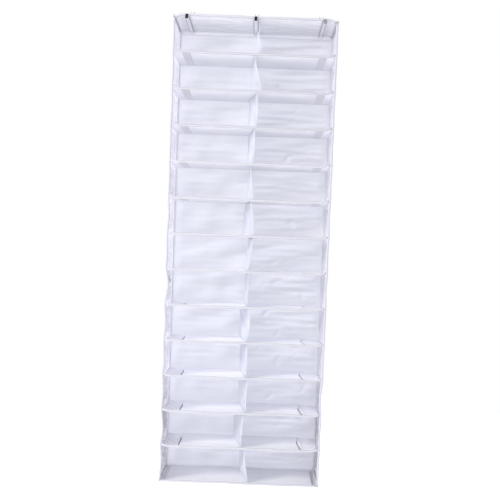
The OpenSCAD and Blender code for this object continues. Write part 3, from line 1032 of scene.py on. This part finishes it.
def top_sleeve():
    """The sleeve round the top board: an upper film over the whole top and a lower one under the board."""
    y0, y1 = FRONT + 0.0023, BACK - TAPE_D - 0.0005
    x_end = END_X - 0.0004

    def over(X, Yg):
        front = 1 - smoothstep((Yg - y0) / SOFTEN)
        back = 1 - smoothstep((y1 - Yg) / SOFTEN)
        wave = line_wave(0, X) * np.maximum(front, back)
        return TOP - 0.0003 - edge_rise(X, DROOP_SPAN, DROOP, END_X) + wave

    def under(X, Yg):
        near = np.minimum(Yg - y0, y1 - Yg)
        front = 1 - smoothstep((Yg - y0) / SOFTEN)
        closed = 1 - smoothstep(near / MOUTH)
        return TOP - 0.0037 + 0.0029 * closed + line_wave(0, X) * front

    upper = flat_sheet(x_end, y0, y1, over, 301, 0.0)
    lower = flat_sheet(high("top_board").x + 0.001, y0, y1, under, 302, -0.00045)
    soft = lower[:, :, 2] - under(lower[:, :, 0], lower[:, :, 1])
    # Painted shade from the slope of the lower film's soft bumps
    painted_shading = painted_fold_shading(soft, lower[:, 0, 0], lower[0, :, 1], 0.035)
    obj = sheet("top_film", upper, PLAIN_MAT, "organizer")
    add_sheet(obj, lower, PLAIN_MAT, painted_shading)
    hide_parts("top_sleeve")


top_sleeve()

# ---- Divider ----

# The divider in each tier: sideways offset in mm of its front edge at the tier's top, middle and bottom, then
# of its seam on the back film at the top and the bottom
SWAY = (
    (14, 14, 16, 14, -4), (2, 14, 34, -6, -17), (14, 18, 16, -16, -17), (10, 12, 10, -15, -15),
    (1, 8, 16, -6, -12), (8, 16, 20, -16, -26), (19, 14, 5, 0, -10), (6, 8, 6, -6, -8),
    (10, 18, 8, -24, -20), (12, 14, 12, -15, -15), (16, 16, 14, -15, -14), (8, 5, 3, -28, -28),
    (14, 22, 32, -4, -4),
)


HEM_D = 0.010


def divider(i):
    """The divider's panel in a tier: a curved sheet with a hem along its front edge."""
    rng = np.random.default_rng(400 + i)
    bottom = SHELF_Z[i - 1] + SLEEVE_H + (0.0024 if i == TIERS else 0.0004)
    top = TOP - 0.0056 if i == 1 else SHELF_Z[i - 2] - 0.0004
    y0, y1 = FRONT + TAPE_D + 0.0006, BACK_FILM - 0.0030
    y = spaced([y0, y0 + HEM_D, y1], 0.005)
    t = np.linspace(0, 1, 27)
    Yg, T = np.meshgrid(y, t, indexing="ij")
    s = (Yg - y0) / (y1 - y0)
    a, b, c, back_top, back_low = (v / 1000 for v in SWAY[i - 1])
    edge = a * (1 - T) * (1 - 2 * T) + b * 4 * T * (1 - T) + c * T * (2 * T - 1)
    seam = back_top + (back_low - back_top) * T
    ends = smoothstep((T - 0.09 * (i == 1)) / 0.06) * smoothstep((1 - T) / 0.06)
    wave = waves(rng, Yg, T * PITCH, 5, (0.07, 0.2), (0.05, 0.14)) * 0.0025
    X = edge * (1 - s) ** 1.3 + seam * s + wave * np.sin(math.pi * np.clip(s, 0, 1)) * ends
    Z = top + (bottom - top) * T
    P = np.stack([X, Yg, Z], axis=2)
    thickness = np.where(Yg < y0 + HEM_D + 0.0001, HEM_T, FILM_T)
    # Painted shade: the divider is darker towards its front edge
    painted_shading = 0.15 + 0.85 * smoothstep(s / 0.7)
    obj = sheet("divider_%02d" % i, P, DIVIDER_MAT, "shelf_%02d" % i, thickness, painted_shading=painted_shading)
    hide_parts("centre_divider")
    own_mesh(obj)


for i in range(1, TIERS + 1):
    divider(i)

# ---- Stage, light and camera ----

FLOOR_Z = -2.03
CAMERA_DISTANCE = 2.538  # from the open front
CAMERA_X = 0.050
CAMERA_Z = -0.8604
CAMERA_ROLL = 2.23  # degrees
CAMERA_TILT = -2.97  # degrees
FOCAL = 52.41  # millimetres, on a 36 mm sensor
HORIZON_SHIFT = 0.0736
SIDE_SHIFT = -0.0202
WORLD_STRENGTH = 1.14


def make_floor():
    material, nodes, links, out = new_material("pale_floor")
    coords = nodes.new("ShaderNodeTexCoord").outputs["Object"]
    cloud = noise_node(nodes, links, coords, 1.5, 2.0)
    base = mix_colour(nodes, links, cloud, (0.93, 0.93, 0.94), (0.96, 0.96, 0.965))
    skin = skin_node(nodes, links, base, 0.8, Emission_Color=(1, 1, 1, 1), Emission_Strength=0.42)
    links.new(skin, out.inputs["Surface"])
    bpy.ops.mesh.primitive_circle_add(vertices=96, radius=3.2, fill_type="NGON", location=(0, 0, FLOOR_Z))
    floor = bpy.context.object
    floor.name = "floor"
    floor.data.materials.append(material)


def make_world(strength):
    """Soft light from all round; the camera itself sees plain white."""
    world = bpy.data.worlds.new("studio")
    bpy.context.scene.world = world
    world.use_nodes = True
    nodes, links = world.node_tree.nodes, world.node_tree.links
    nodes.clear()
    out = nodes.new("ShaderNodeOutputWorld")
    seen = nodes.new("ShaderNodeBackground")
    seen.inputs["Color"].default_value = (1, 1, 1, 1)
    seen.inputs["Strength"].default_value = 1.0
    fill = nodes.new("ShaderNodeBackground")
    fill.inputs["Color"].default_value = (0.97, 0.975, 1.0, 1)
    fill.inputs["Strength"].default_value = strength
    is_camera = nodes.new("ShaderNodeLightPath").outputs["Is Camera Ray"]
    mixed = mix_shader(nodes, links, is_camera, fill.outputs["Background"], seen.outputs["Background"])
    links.new(mixed, out.inputs["Surface"])


def area_light(name, place, target, size, power):
    light = bpy.data.lights.new(name, "AREA")
    light.shape = "DISK"
    light.size = size
    light.energy = power
    obj = bpy.data.objects.new(name, light)
    bpy.context.scene.collection.objects.link(obj)
    obj.location = place
    obj.rotation_mode = "QUATERNION"
    obj.rotation_quaternion = (Vector(target) - Vector(place)).to_track_quat("-Z", "Y")


def make_camera():
    data = bpy.data.cameras.new("camera")
    data.sensor_width = 36.0
    data.lens = FOCAL
    data.shift_x = SIDE_SHIFT
    data.shift_y = HORIZON_SHIFT
    data.clip_start = 0.05
    cam = bpy.data.objects.new("camera", data)
    bpy.context.scene.collection.objects.link(cam)
    level = Matrix.Rotation(math.radians(90 + CAMERA_TILT), 4, "X")
    roll = Matrix.Rotation(math.radians(CAMERA_ROLL), 4, "Z")
    place = Matrix.Translation((CAMERA_X, FRONT - CAMERA_DISTANCE, CAMERA_Z))
    cam.matrix_world = place @ level @ roll
    bpy.context.scene.camera = cam


make_floor()
make_world(WORLD_STRENGTH)
area_light("key", (-2.7, -1.9, 0.1), (0, 0, -0.75), 1.4, 104)
make_camera()
bpy.context.scene.view_settings.view_transform = "Standard"
bpy.context.scene.cycles.diffuse_bounces = 8
